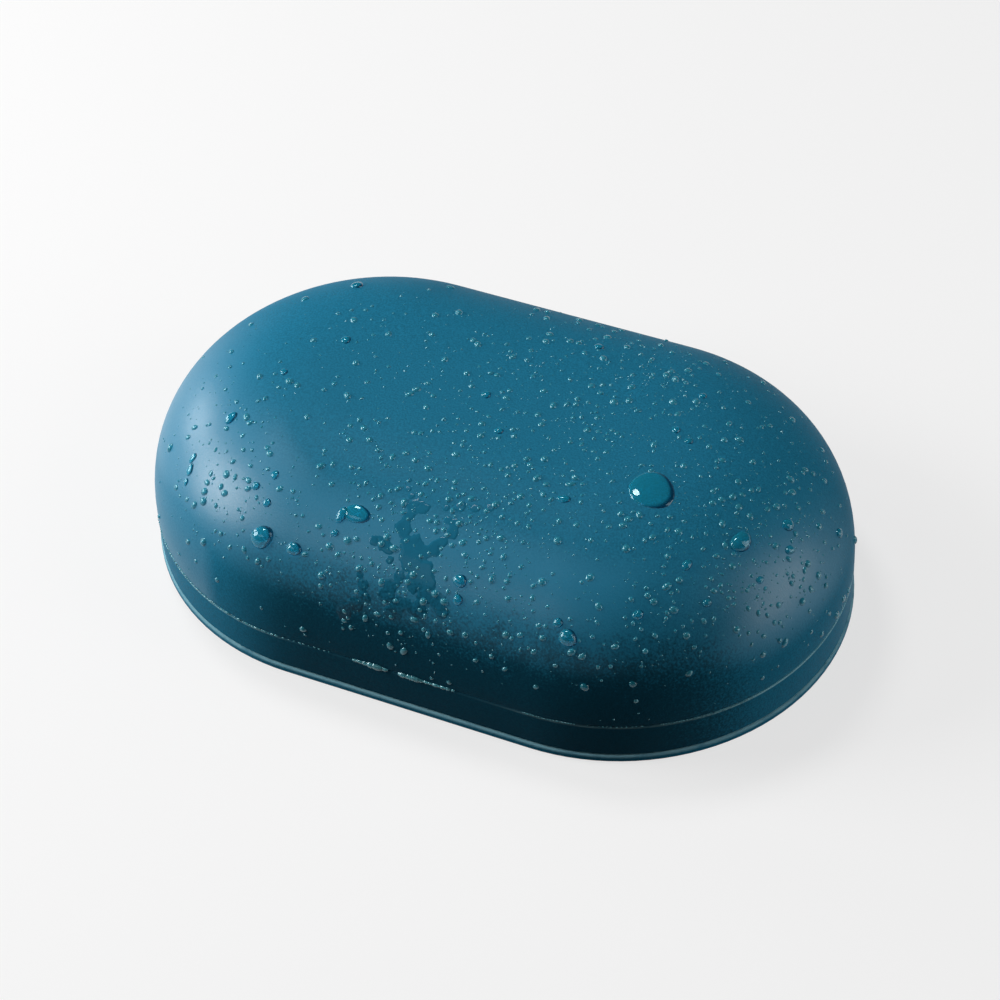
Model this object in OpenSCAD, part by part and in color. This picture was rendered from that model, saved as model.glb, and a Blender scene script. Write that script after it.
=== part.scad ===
// Travel soap box: a domed lid that lifts off a shallow tray, with a seal between them,
// a drain rack inside, and a base plate with four soft feet underneath. Millimetres.
// +X runs along the box, +Z is up, and the front long side faces -Y.
// The origin is on the surface that the box stands on, under the middle of the box.

/* [Overall] */
// Length of the lid and the wall from end to end
box_l = 125; // [112:1:160]
// Width of the lid and the wall, which is also the diameter of their round ends
box_w = 80; // [72:1:95]
// Height from the surface to the top of the lid
box_h = 35; // [33:0.5:50]
// Height of the seam between lid and base above the surface
seam_z = 9; // [8:0.5:12]

/* [Lid] */
// Wall thickness of the lid
lid_wall = 1.6; // [1.2:0.1:2.4]
// Half width of the flat strip along the top
top_flat = 6; // [2:1:14]
// Fullness of the shoulders: 2 is an ellipse, more is squarer
shoulder_power = 2.4; // [2:0.1:3]
// Radius on the edges of the lid's rim
lid_rim_r = 0.3; // [0.1:0.1:0.5]

/* [Tray] */
// Thickness of the tray's floor
floor_t = 1.6; // [1.2:0.1:2.4]
// Radius on the outer edge under the seam
ledge_r = 0.4; // [0.1:0.1:0.6]
// Radius on the lower outer edge of the wall
wall_low_r = 0.2; // [0.1:0.05:0.3]
// Radius inside, between the floor and the wall
tray_fillet_r = 1.5; // [0.5:0.5:2]
// Height of the collar above the seam
collar_h = 5; // [4:0.5:7]
// Wall thickness of the collar at its top
collar_wall = 1.8; // [1.6:0.1:2.4]
// Bevel on the top edges of the collar
collar_bevel = 0.4; // [0.2:0.1:0.5]

/* [Base plate] */
// Thickness of the base plate
plate_t = 1.4; // [1.2:0.1:2]
// How far the base plate stands out past the wall
plate_lip = 0.25; // [0.1:0.05:0.5]
// Radius on the plate's upper edge
plate_top_r = 0.45; // [0.2:0.05:0.6]
// Radius on the plate's lower edge
plate_low_r = 0.3; // [0.1:0.05:0.5]
// Height of the fine groove between the plate and the wall
shade_h = 0.25; // [0.15:0.05:0.4]
// Depth of the fine groove between the plate and the wall
shade_d = 0.6; // [0.3:0.1:1]

/* [Seal] */
// Depth of the seal's groove in the collar
groove_d = 0.8; // [0.6:0.1:1]
// Height of the seal's groove
groove_h = 2; // [1.6:0.1:2.1]
// Height of the groove's lower edge above the seam
groove_up = 1.4; // [1:0.1:1.5]

/* [Drain rack] */
// Thickness of the rack's plate
rack_t = 1.4; // [1.2:0.1:2.4]
// Height of the rack's legs
leg_h = 2.2; // [2:0.1:4]
// Diameter of the rack's legs
leg_d = 3.6; // [3:0.2:5]
// Width of one drain slot
slot_w = 3.2; // [2:0.2:4]
// Distance from one drain slot to the next
slot_pitch = 7.4; // [6.8:0.2:10]
// Shortest drain slot
slot_min = 10; // [6:1:16]
// Width of the solid strip along the middle of the rack
spine_w = 8; // [6:0.5:12]
// Width of the solid land between the slots and the legs
slot_land = 1; // [0.6:0.2:2]
// Width of one rib that carries the soap
rib_w = 1.6; // [1.2:0.2:2.4]
// Height of the ribs above the plate
rib_h = 1; // [0.6:0.1:1.6]
// Width of the raised edge round the rack
edge_w = 1.4; // [1:0.2:2]
// Height of the raised edge above the plate
edge_h = 0.8; // [0.4:0.2:1.2]

/* [Feet] */
// Diameter of one foot
foot_d = 9; // [6:0.5:12]
// How far the feet stand out below the base plate
foot_proud = 0.3; // [0.2:0.1:1]
// How deep the feet are let into the base plate
foot_sunk = 0.6; // [0.4:0.1:0.8]
// Radius on the lower edge of a foot
foot_edge_r = 0.2; // [0.1:0.1:0.4]
// Distance of the feet's centres from the ends of the box
foot_in_x = 24; // [20:1:32]
// Distance of the feet's centres from the long sides of the box
foot_in_y = 18; // [15:1:24]

/* [Clearances] */
// Gap between the lid's rim and the base, which is the seam's shadow line
seam_gap = 0.15; // [0.1:0.05:0.4]
// Gap between the collar and the inside of the lid
collar_gap = 0.6; // [0.5:0.1:1]
// Gap between the seal's lips and the lid, which the soft seal closes when squeezed
seal_gap = 0.2; // [0.1:0.05:0.4]
// Slack of the seal in its groove
groove_gap = 0.1; // [0.05:0.05:0.2]
// Gap between the rack and the wall of the tray
rack_gap = 0.5; // [0.3:0.1:1]
// Gap round a foot in its recess
foot_gap = 0.15; // [0.1:0.05:0.3]

/* [Hidden] */
$fn = 96;
shoulder_steps = 30;
arc_steps = 6;

// Radius of the round ends, and length of the straight sides between them
end_r = box_w / 2;
side_l = box_l - box_w;

// Inside of the lid
lid_in_r = end_r - lid_wall;
lid_in_top = box_h - lid_wall;

// Base plate and tray, from the underside up
plate_r = end_r + plate_lip;
plate_z = foot_proud + plate_t;
wall_z = plate_z + shade_h;
floor_z = plate_z + floor_t;
ledge_z = seam_z - seam_gap;
collar_z = seam_z + collar_h;
collar_root_r = lid_in_r - collar_gap;
collar_top_r = lid_wall_r(collar_z) - collar_gap;
tray_r = collar_top_r - collar_wall;
groove_z = seam_z + groove_up;
groove_r = collar_top_r - groove_d;

// Seal
seal_low = groove_z + groove_gap;
seal_high = groove_z + groove_h - groove_gap;
seal_in_r = groove_r + groove_gap;
seal_body_r = collar_top_r;
seal_lip_r = lid_wall_r(seal_high) - seal_gap;

// Drain rack
rack_r = tray_r - rack_gap;
rack_z = floor_z + leg_h;
rack_top = rack_z + rack_t;
leg_r = tray_r - tray_fillet_r - rack_gap - leg_d / 2;
slot_r = leg_r - leg_d / 2 - slot_land;
slot_x_max = side_l / 2 + sqrt(slot_r * slot_r - pow(slot_min + spine_w / 2, 2));
slots_each_way = floor(slot_x_max / slot_pitch);

// Feet
foot_x = box_l / 2 - foot_in_x;
foot_y = end_r - foot_in_y;

// Radius of the inside of the lid's round ends at height z
function lid_wall_r(z) =
    lid_in_r - (lid_in_r - top_flat)
    * (1 - pow(1 - pow((z - seam_z) / (lid_in_top - seam_z), shoulder_power), 1 / shoulder_power));

// Points of a shoulder that rises straight up from [edge, low] and rounds over to [top_flat, high]
function shoulder(edge, low, high) = [
    for (i = [1 : shoulder_steps])
        let (turn = 90 * i / shoulder_steps, bend = 2 / shoulder_power)
            [top_flat + (edge - top_flat) * pow(cos(turn), bend), low + (high - low) * pow(sin(turn), bend)]
];

// Points of an arc about [x, z]
function arc(x, z, r, from, to) = [
    for (i = [0 : arc_steps])
        let (turn = from + (to - from) * i / arc_steps) [x + r * cos(turn), z + r * sin(turn)]
];

function reversed(points) = [for (i = [len(points) - 1 : -1 : 0]) points[i]];

// Radius of the collar's outside at height z
function collar_r(z) =
    collar_root_r + (collar_top_r - collar_root_r) * (z - seam_z) / (collar_z - seam_z);

// Half width of the slotted part of the rack at a distance x from its middle
function slotted_y(x) = sqrt(slot_r * slot_r - pow(max(abs(x) - side_l / 2, 0), 2));

// Carries a profile, drawn as radius and height, round the ends and along the sides
module along_outline() {
    for (end = [0, 1])
        mirror([end, 0, 0])
            translate([side_l / 2, 0, 0])
                rotate_extrude(angle = 180, start = -90)
                    children();
    for (side = [0, 1])
        mirror([0, side, 0])
            translate([-side_l / 2, 0, 0])
                rotate([90, 0, 90])
                    linear_extrude(height = side_l)
                        children();
}

// Upright slot with round ends, from y = from to y = to
module slot(from, to) {
    translate([0, (from + to) / 2, 0])
        linear_extrude(height = rack_t + 2)
            polygon(concat(
                arc(0, (to - from - slot_w) / 2, slot_w / 2, 0, 180),
                arc(0, (from - to + slot_w) / 2, slot_w / 2, 180, 360)
            ));
}

// Domed cover, open below, with an even wall
module lid_shell() {
    color("#1f6b8d")
        along_outline()
            polygon(concat(
                arc(end_r - lid_rim_r, seam_z + lid_rim_r, lid_rim_r, -90, 0),
                shoulder(end_r, seam_z, box_h),
                [[0, box_h], [0, lid_in_top]],
                reversed(shoulder(lid_in_r, seam_z, lid_in_top)),
                [[lid_in_r, seam_z + lid_rim_r], [lid_in_r + lid_rim_r, seam_z]]
            ));
}

// Shallow tray with a ledge that meets the lid, and a collar that stands up inside the lid
module base_tray() {
    color("#1b6080")
        along_outline()
            polygon(concat(
                [[0, plate_z], [end_r - shade_d, plate_z], [end_r - shade_d, wall_z]],
                arc(end_r - wall_low_r, wall_z + wall_low_r, wall_low_r, -90, 0),
                arc(end_r - ledge_r, ledge_z - ledge_r, ledge_r, 0, 90),
                [
                    [collar_root_r, ledge_z],
                    [collar_r(groove_z), groove_z],
                    [groove_r, groove_z],
                    [groove_r, groove_z + groove_h],
                    [collar_r(groove_z + groove_h), groove_z + groove_h],
                    [collar_r(collar_z - collar_bevel), collar_z - collar_bevel],
                    [collar_top_r - collar_bevel, collar_z],
                    [tray_r + collar_bevel, collar_z],
                    [tray_r, collar_z - collar_bevel]
                ],
                reversed(arc(tray_r - tray_fillet_r, floor_z + tray_fillet_r, tray_fillet_r, -90, 0)),
                [[0, floor_z]]
            ));
}

// Plate under the tray, a little wider than the wall, with a recess for each foot
module base_plate() {
    color("#1b6080")
        difference() {
            along_outline()
                polygon(concat(
                    [[0, foot_proud]],
                    arc(plate_r - plate_low_r, foot_proud + plate_low_r, plate_low_r, -90, 0),
                    arc(plate_r - plate_top_r, plate_z - plate_top_r, plate_top_r, 0, 90),
                    [[0, plate_z]]
                ));
            for (x = [-foot_x, foot_x], y = [-foot_y, foot_y])
                translate([x, y, foot_proud - 1])
                    cylinder(d = foot_d + 2 * foot_gap, h = foot_sunk + 1);
        }
}

// Soft ring in the collar's groove, with two lips towards the lid
module seal_ring() {
    lip_step = (seal_high - seal_low) / 4;
    color("#2f3d46")
        along_outline()
            polygon([
                [seal_in_r, seal_low],
                [seal_body_r, seal_low],
                [seal_lip_r, seal_low + lip_step],
                [seal_body_r, seal_low + 2 * lip_step],
                [seal_lip_r, seal_low + 3 * lip_step],
                [seal_body_r, seal_high],
                [seal_in_r, seal_high]
            ]);
}

// Slotted plate that keeps the soap out of the water, on short legs
module drain_rack() {
    color("#d9dedf") {
        difference() {
            translate([0, 0, rack_z])
                along_outline()
                    polygon([
                        [0, 0],
                        [rack_r, 0],
                        [rack_r, rack_t + edge_h],
                        [rack_r - edge_w, rack_t + edge_h],
                        [rack_r - edge_w, rack_t],
                        [0, rack_t]
                    ]);
            for (i = [-slots_each_way : slots_each_way], side = [0, 1])
                mirror([0, side, 0])
                    translate([i * slot_pitch, 0, rack_z - 1])
                        slot(spine_w / 2, slotted_y(i * slot_pitch));
        }
        for (i = [-slots_each_way : slots_each_way - 1])
            rib((i + 0.5) * slot_pitch);
        for (x = [-1, 1], y = [-1, 1])
            leg(x * side_l / 2, y * leg_r);
        for (x = [-1, 1])
            leg(x * (side_l / 2 + leg_r), 0);
        leg(0, 0);
    }
}

// Round-topped rib across the rack at a distance x from its middle
module rib(x) {
    reach = slotted_y(x);
    translate([x, reach, rack_top])
        rotate([90, 0, 0])
            linear_extrude(height = 2 * reach)
                polygon(concat(
                    [for (turn = [0 : 30 : 180]) [rib_w / 2 * cos(turn), rib_h * sin(turn)]],
                    [[-rib_w / 2, -rack_t / 2], [rib_w / 2, -rack_t / 2]]
                ));
}

// One leg of the rack, from the floor of the tray into the plate
module leg(x, y) {
    translate([x, y, floor_z])
        cylinder(d = leg_d, h = leg_h + rack_t / 2);
}

// Soft round pad let into the underside, with a rounded lower edge
module foot(x, y) {
    color("#3a4147")
        translate([x, y, 0])
            rotate_extrude()
                polygon(concat(
                    [[0, 0]],
                    arc(foot_d / 2 - foot_edge_r, foot_edge_r, foot_edge_r, -90, 0),
                    [[foot_d / 2, foot_proud + foot_sunk], [0, foot_proud + foot_sunk]]
                ));
}

module foot_front_left() { foot(-foot_x, -foot_y); }
module foot_front_right() { foot(foot_x, -foot_y); }
module foot_rear_left() { foot(-foot_x, foot_y); }
module foot_rear_right() { foot(foot_x, foot_y); }

lid_shell();
base_tray();
base_plate();
seal_ring();
drain_rack();
foot_front_left();
foot_front_right();
foot_rear_left();
foot_rear_right();
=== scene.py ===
"""Travel soap box: its moulded pieces, the water on it and a plain studio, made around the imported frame."""

import math
import random
from collections import namedtuple

import bmesh
import bpy
from bpy.props import FloatProperty, FloatVectorProperty, IntProperty, PointerProperty
from mathutils import Matrix, Vector, noise


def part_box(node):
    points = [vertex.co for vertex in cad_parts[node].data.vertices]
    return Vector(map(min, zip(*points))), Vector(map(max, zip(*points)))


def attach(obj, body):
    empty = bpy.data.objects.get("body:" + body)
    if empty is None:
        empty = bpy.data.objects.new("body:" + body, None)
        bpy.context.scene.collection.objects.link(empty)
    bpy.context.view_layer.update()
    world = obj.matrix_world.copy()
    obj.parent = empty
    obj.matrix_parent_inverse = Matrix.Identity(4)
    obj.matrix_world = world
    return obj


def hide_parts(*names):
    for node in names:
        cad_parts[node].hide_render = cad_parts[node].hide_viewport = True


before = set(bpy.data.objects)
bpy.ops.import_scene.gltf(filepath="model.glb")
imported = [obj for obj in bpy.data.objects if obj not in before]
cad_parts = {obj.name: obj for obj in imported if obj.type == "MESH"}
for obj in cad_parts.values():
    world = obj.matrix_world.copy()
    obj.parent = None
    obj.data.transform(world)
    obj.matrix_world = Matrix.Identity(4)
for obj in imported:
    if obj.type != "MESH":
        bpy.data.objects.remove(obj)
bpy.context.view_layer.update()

bl_info = {
    "name": "Travel Soap Box",
    "version": (1, 0, 0),
    "blender": (4, 5, 0),
    "location": "3D View > Sidebar > Soap Box",
    "description": "Makes an oval travel soap box with a seal, a drain rack and water on its lid",
    "category": "Add Mesh",
}

MM = 0.001
lid_low, lid_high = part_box("lid_shell")
tray_low, tray_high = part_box("base_tray")
plate_low, plate_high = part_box("base_plate")
seal_low, seal_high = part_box("seal_ring")
rack_low, rack_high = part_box("drain_rack")
foot_low, foot_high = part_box("foot_front_left")

# The outline is two half rounds joined by straight sides; a reach is measured from its middle line
END_R = (lid_high.y - lid_low.y) / 2
SIDE = (lid_high.x - lid_low.x) - 2 * END_R
SEAM_Z = lid_low.z
TOP_Z = lid_high.z
PLATE_R = (plate_high.y - plate_low.y) / 2
RACK_R = (rack_high.y - rack_low.y) / 2
FOOT_R = (foot_high.x - foot_low.x) / 2
FOOT_X = -(foot_low.x + foot_high.x) / 2
FOOT_Y = -(foot_low.y + foot_high.y) / 2

# Faces round each half round, and the angle from which an edge gets a bevel
TURN_STEPS = 56
SHARP = math.radians(50)


def length(name, description, millimetres, least=0):
    """A size that can be set in the sidebar."""
    return FloatProperty(
        name=name, description=description, default=millimetres * MM, min=least * MM,
        unit="LENGTH", precision=5
    )


def share(name, description, default):
    """A value from 0 to 1 that can be set in the sidebar."""
    return FloatProperty(name=name, description=description, default=default, min=0, max=1, subtype="FACTOR")


def angle(name, description, degrees):
    """An angle that can be set in the sidebar."""
    return FloatProperty(name=name, description=description, default=math.radians(degrees), subtype="ANGLE")


def colour(name, description, default):
    """A linear colour that can be set in the sidebar."""
    return FloatVectorProperty(
        name=name, description=description, default=default, size=3, min=0, max=1, subtype="COLOR"
    )


class SoapBoxLid(bpy.types.PropertyGroup):
    """Sizes of the lid that its outer box doesn't give."""

    wall: length("Wall", "Thickness of the lid's wall", 1.6)
    top_flat: length("Top flat", "Half width of the flat strip along the top", 6)
    fullness: FloatProperty(
        name="Fullness", description="2 is an elliptical shoulder, more is squarer", default=2.4, min=2, max=3
    )
    rim_radius: length("Rim radius", "Radius on the edges of the rim", 0.3)
    steps: IntProperty(name="Steps", description="Rings from the rim to the top", default=44, min=8, max=90)


class SoapBoxTray(bpy.types.PropertyGroup):
    """Sizes of the tray, its collar and the groove for the seal."""

    floor: length("Floor", "Thickness of the tray's floor", 1.6)
    ledge_radius: length("Ledge radius", "Radius on the outer edge under the seam", 0.4)
    low_radius: length("Lower radius", "Radius on the lower outer edge of the wall", 0.2)
    fillet: length("Fillet", "Radius inside, between the floor and the wall", 1.5)
    seam_gap: length("Seam gap", "Gap between the lid's rim and the ledge", 0.15)
    collar_gap: length("Collar gap", "Gap between the collar and the inside of the lid", 0.6)
    collar_wall: length("Collar wall", "Wall thickness of the collar at its top", 1.8)
    collar_radius: length("Collar radius", "Radius on the top edges of the collar", 0.4)
    groove_depth: length("Groove depth", "Depth of the seal's groove", 0.8)
    groove_height: length("Groove height", "Height of the seal's groove", 2)
    groove_up: length("Groove rise", "Height of the groove's lower edge above the seam", 1.4)
    shade_height: length("Shadow gap height", "Height of the fine groove over the base plate", 0.25)
    shade_depth: length("Shadow gap depth", "Depth of the fine groove over the base plate", 0.6)


class SoapBoxPlate(bpy.types.PropertyGroup):
    """Sizes of the base plate's edges and of the seats for the feet."""

    top_radius: length("Upper radius", "Radius on the plate's upper edge", 0.45)
    low_radius: length("Lower radius", "Radius on the plate's lower edge", 0.3)
    foot_depth: length("Foot seat", "How deep the feet are let into the plate", 0.6)
    foot_gap: length("Foot gap", "Gap round a foot in its seat", 0.15)
    foot_radius: length("Foot radius", "Radius on the lower edge of a foot", 0.2)


class SoapBoxRack(bpy.types.PropertyGroup):
    """Sizes of the slotted rack."""

    plate: length("Plate", "Thickness of the rack's plate", 1.4)
    edge_width: length("Edge width", "Width of the raised edge", 1.4)
    edge_height: length("Edge height", "Height of the raised edge above the plate", 0.8)
    leg_height: length("Leg height", "Height of the legs under the plate", 2.2)
    leg_width: length("Leg width", "Diameter of one leg", 3.6)
    slot_width: length("Slot width", "Width of one drain slot", 3.2)
    slot_pitch: length("Slot pitch", "Distance from one slot to the next", 7.4)
    slot_least: length("Shortest slot", "Length of the shortest slot", 10)
    slot_land: length("Slot land", "Solid land between the slots and the legs", 1)
    spine: length("Spine", "Width of the solid strip along the middle", 8)
    rib_width: length("Rib width", "Width of one rib", 1.6)
    rib_height: length("Rib height", "Height of one rib above the plate", 1)
    soften: length("Soften", "Radius on the rack's edges", 0.15)


class SoapBoxFinish(bpy.types.PropertyGroup):
    """Colours and surfaces of the pieces."""

    shell_colour: colour("Shell colour", "Colour of the lid", (0.0125, 0.145, 0.242))
    base_colour: colour("Base colour", "Colour of the tray and the base plate", (0.0125, 0.145, 0.242))
    rack_colour: colour("Rack colour", "Colour of the drain rack", (0.68, 0.73, 0.74))
    seal_colour: colour("Seal colour", "Colour of the seal", (0.028, 0.047, 0.061))
    foot_colour: colour("Foot colour", "Colour of the feet", (0.04, 0.052, 0.062))
    shell_roughness: share("Shell roughness", "Roughness of the matt shell", 0.48)
    shell_gloss: share("Shell gloss", "Strength of the shell's reflections", 0.018)
    sheen: share("Handled sheen", "Strength of the sheen on the shoulders, where hands rub them", 0.92)
    sheen_roughness: share("Sheen roughness", "Roughness of the sheen on the shoulders", 0.38)
    # Painted highlight: the shoulders' colour is lifted where the sheen lies, standing in for the highlight
    # there
    painted_highlight_colour: colour("Painted highlight colour", "Colour of the shoulders under their sheen", (0.0125, 0.172, 0.29))
    sheen_from: length("Sheen from", "Height at which the sheen begins", 18)
    sheen_to: length("Sheen to", "Height from which the sheen is full", 25)
    sheen_fades: length("Sheen fades", "Height from which the sheen fades again", 30.4)
    sheen_ends: length("Sheen ends", "Height at which the sheen is faint", 33.2)
    sheen_behind: length("Sheen behind", "How far behind the middle the sheen is faint", 14)
    # Painted shade: how much darker the lower front's colour is made, standing in for the shade there
    damp: share("Damp", "How much darker the damp lower front is", 0.68)
    # Lighter edges on the tray's ledge and the base plate's upper edge: partly worn, partly a painted
    # highlight on their curves
    edge_wear_and_highlight_colour: colour("Edge colour", "Colour of the rubbed edges under the seam", (0.24, 0.48, 0.56))
    grain_size: length("Grain size", "Size of the fine moulded grain", 0.34)
    grain_depth: length("Grain depth", "Depth of the fine moulded grain", 0.05)
    grain_tone: share("Grain tone", "How much lighter the high spots of the grain are", 0.42)


class SoapBoxWater(bpy.types.PropertyGroup):
    """How much water lies on the lid."""

    beads: IntProperty(name="Beads", description="Number of small beads", default=2300, min=0, max=4000)
    bead_least: length("Smallest bead", "Radius of the smallest bead", 0.13)
    bead_most: length("Largest bead", "Radius of the largest bead", 0.8)
    sink: length("Sink", "How deep the underside of a drop lies under the surface it rests on", 0.04)
    film: length("Film", "Thickness of the wet patches", 0.07)
    film_grid: length("Film grid", "Distance between the points of a wet patch", 0.16)
    seed: IntProperty(name="Seed", description="Another seed gives another scatter", default=7)
    colour: colour("Water colour", "Tint of the large drops over the shell", (0.019, 0.36, 0.46))
    # Painted shade: the dark crescent on the side of a large drop away from the key window
    painted_crescent_colour: colour("Drop rim colour", "Tint of a large drop's dark crescent", (0.002, 0.05, 0.09))
    shade_colour: colour("Drop shade", "Light that a large drop lets through to the lid", (0.74, 0.8, 0.82))
    clearness: share("Clearness", "How clear the large drops are", 0.72)
    fine_colour: colour("Bead colour", "Tint of the small beads over the shell", (0.045, 0.34, 0.43))
    fine_shade_colour: colour("Bead shade", "Light that a small bead lets through", (0.55, 0.6, 0.62))
    fine_clearness: share("Bead clearness", "How clear the small beads are", 0.52)
    seam_colour: colour("Seam water colour", "Tint of the water in the seam", (0.1, 0.36, 0.42))


class SoapBoxStudio(bpy.types.PropertyGroup):
    """The camera, the floor and the lights."""

    azimuth: angle("Azimuth", "Direction of the view, turned from the front", 26.32)
    elevation: angle("Elevation", "Height of the view over the floor", 45.84)
    roll: angle("Roll", "Turn of the picture about the line of sight", -3.48)
    distance: length("Distance", "Distance of the camera from the middle of the box", 529.4)
    aside: length("Aside", "Sideways shift of the box in the picture", 0.43)
    below: length("Below", "Shift of the box down the picture", -8.44, least=-50)
    lens: FloatProperty(
        name="Lens", description="Focal length for a sensor of 36 mm", default=108.3, unit="CAMERA"
    )
    floor_colour: colour("Floor colour", "Colour of the floor and the backdrop", (0.91, 0.91, 0.91))
    floor_bounce: share("Floor bounce", "How much light the floor throws back on the box", 0.05)
    floor_glow: share("Floor glow", "Share of the floor's tone that the lamps don't change", 0.75)


class SoapBoxSettings(bpy.types.PropertyGroup):
    """All the settings of the soap box."""

    lid: PointerProperty(type=SoapBoxLid)
    tray: PointerProperty(type=SoapBoxTray)
    plate: PointerProperty(type=SoapBoxPlate)
    rack: PointerProperty(type=SoapBoxRack)
    finish: PointerProperty(type=SoapBoxFinish)
    water: PointerProperty(type=SoapBoxWater)
    studio: PointerProperty(type=SoapBoxStudio)


def settings():
    """The settings of the open scene."""
    return bpy.context.scene.soap_box


def deselect():
    """Leaves edit mode and deselects everything."""
    if bpy.context.object and bpy.context.object.mode != "OBJECT":
        bpy.ops.object.mode_set(mode="OBJECT")
    bpy.ops.object.select_all(action="DESELECT")


def make_active(piece):
    """Selects this piece alone."""
    deselect()
    piece.select_set(True)
    bpy.context.view_layer.objects.active = piece


def select_where(piece, kind, wanted):
    """In edit mode, selects the wanted ones of the verts, edges or faces alone, and says if there are any."""
    mesh = bmesh.from_edit_mesh(piece.data)
    any_wanted = False
    for element in getattr(mesh, kind):
        element.select = wanted(element)
        any_wanted = any_wanted or element.select
    bmesh.update_edit_mesh(piece.data)
    return any_wanted


def leave_closed():
    """Turns every face outwards and leaves edit mode."""
    bpy.ops.mesh.select_all(action="SELECT")
    bpy.ops.mesh.normals_make_consistent(inside=False)
    bpy.ops.object.mode_set(mode="OBJECT")


def upright_cylinder(sides, radius, x, y, low, high):
    """A cylinder from one height to another."""
    deselect()
    bpy.ops.mesh.primitive_cylinder_add(
        vertices=sides, radius=radius, depth=high - low, location=(x, y, (low + high) / 2)
    )
    return bpy.context.object


def apply_modifier(piece, kind, **values):
    """Puts a modifier on the piece and applies it."""
    make_active(piece)
    modifier = piece.modifiers.new(kind.title(), kind)
    for name, value in values.items():
        setattr(modifier, name, value)
    bpy.ops.object.modifier_apply(modifier=modifier.name)


def smooth(piece, degrees=32):
    """Shades the piece smooth, with its hard edges kept."""
    make_active(piece)
    bpy.ops.object.shade_smooth_by_angle(angle=math.radians(degrees))


def arc(reach, height, radius, start, stop, steps=6):
    """Profile points of an arc about (reach, height), between two angles in degrees."""
    points = []
    for i in range(steps + 1):
        turn = math.radians(start + (stop - start) * i / steps)
        points.append((reach + radius * math.cos(turn), height + radius * math.sin(turn)))
    return points


def shoulder(edge, low, high):
    """Profile points of a shoulder that rises straight up at its edge and rounds over to the flat top."""
    lid = settings().lid
    bend = 2 / lid.fullness
    points = []
    for i in range(1, lid.steps + 1):
        turn = math.pi / 2 * i / lid.steps
        across = max(math.cos(turn), 0) ** bend
        rise = math.sin(turn) ** bend
        points.append((lid.top_flat + (edge - lid.top_flat) * across, low + (high - low) * rise))
    return points


def draw_profile(name, profile, closed):
    """A new object in edit mode: the profile, drawn point by point at one end of a straight side."""
    deselect()
    bpy.ops.mesh.primitive_plane_add(size=MM, location=(0, 0, 0), enter_editmode=True)
    piece = bpy.context.object
    piece.name = name
    bpy.ops.mesh.merge(type="CENTER")
    reach, height = profile[0]
    bpy.ops.transform.translate(value=(SIDE / 2, -reach, height))
    for next_reach, next_height in profile[1:]:
        step = (0, reach - next_reach, next_height - height)
        bpy.ops.mesh.extrude_region_move(TRANSFORM_OT_translate={"value": step})
        reach, height = next_reach, next_height
    if closed:
        select_where(piece, "verts", lambda vertex: len(vertex.link_edges) == 1)
        bpy.ops.mesh.edge_face_add()
    bpy.ops.mesh.select_all(action="SELECT")
    return piece


def carry_round(name, profile, closed=False):
    """A closed shape: the profile of (reach, height) points carried round both ends and along both sides."""
    piece = draw_profile(name, profile, closed)
    for end in (1, -1):
        bpy.ops.mesh.spin(
            steps=TURN_STEPS, angle=-math.pi, use_auto_merge=False,
            center=(end * SIDE / 2, 0, 0), axis=(0, 0, 1)
        )
        bpy.ops.mesh.extrude_region_move(TRANSFORM_OT_translate={"value": (-end * SIDE, 0, 0)})
    bpy.ops.mesh.select_all(action="SELECT")
    bpy.ops.mesh.remove_doubles(threshold=0.002 * MM)
    leave_closed()
    return piece


def copy_piece(template, name, shift=(0, 0, 0)):
    """A copy of the template with its own mesh, shifted in its mesh."""
    piece = template.copy()
    piece.data = template.data.copy()
    piece.name = name
    piece.data.transform(Matrix.Translation(shift))
    bpy.context.scene.collection.objects.link(piece)
    return piece


def join(pieces, name):
    """One object out of several."""
    make_active(pieces[0])
    for piece in pieces:
        piece.select_set(True)
    bpy.ops.object.join()
    joined = bpy.context.object
    joined.name = name
    bpy.ops.object.transform_apply(location=True, rotation=True, scale=True)
    return joined


def lay_copies(template, places, name):
    """One object out of many small copies of the template, each with its own place, turn and scale."""
    mesh = bmesh.new()
    for place_of_copy in places:
        copy = template.data.copy()
        copy.transform(place_of_copy)
        mesh.from_mesh(copy)
        bpy.data.meshes.remove(copy)
    piece = copy_piece(template, name)
    mesh.to_mesh(piece.data)
    mesh.free()
    bpy.data.objects.remove(template)
    return piece


def cut(piece, cutter):
    """Cuts the cutter out of the piece and deletes it."""
    apply_modifier(piece, "BOOLEAN", operation="DIFFERENCE", object=cutter, solver="EXACT", use_self=False)
    bpy.data.objects.remove(cutter)


def fuse(piece, other):
    """Fuses the other object with the piece."""
    apply_modifier(piece, "BOOLEAN", operation="UNION", object=other, solver="EXACT", use_self=False)
    bpy.data.objects.remove(other)


def place(piece, body, slot, material, *nodes):
    """Ties a finished piece to its body, its finish and the CAD nodes that it stands for, which it hides; the
    slot is not used.
    """
    piece.data.materials.clear()
    piece.data.materials.append(material)
    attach(piece, body)
    if nodes:
        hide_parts(*nodes)


def collar_reach(height):
    """Reach of the collar's outside at a height."""
    tray = settings().tray
    root = END_R - settings().lid.wall - tray.collar_gap
    top = seal_and_collar_top()
    return root + (top - root) * (height - SEAM_Z) / (tray_high.z - SEAM_Z)


def lid_inner_reach(height):
    """Reach of the lid's inner wall at a height."""
    lid = settings().lid
    edge = END_R - lid.wall
    rise = (height - SEAM_Z) / (TOP_Z - lid.wall - SEAM_Z)
    return edge - (edge - lid.top_flat) * (1 - (1 - rise ** lid.fullness) ** (1 / lid.fullness))


def seal_and_collar_top():
    """Reach of the collar's outside at its top, which is also the back of the seal's lips."""
    return lid_inner_reach(tray_high.z) - settings().tray.collar_gap


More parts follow.
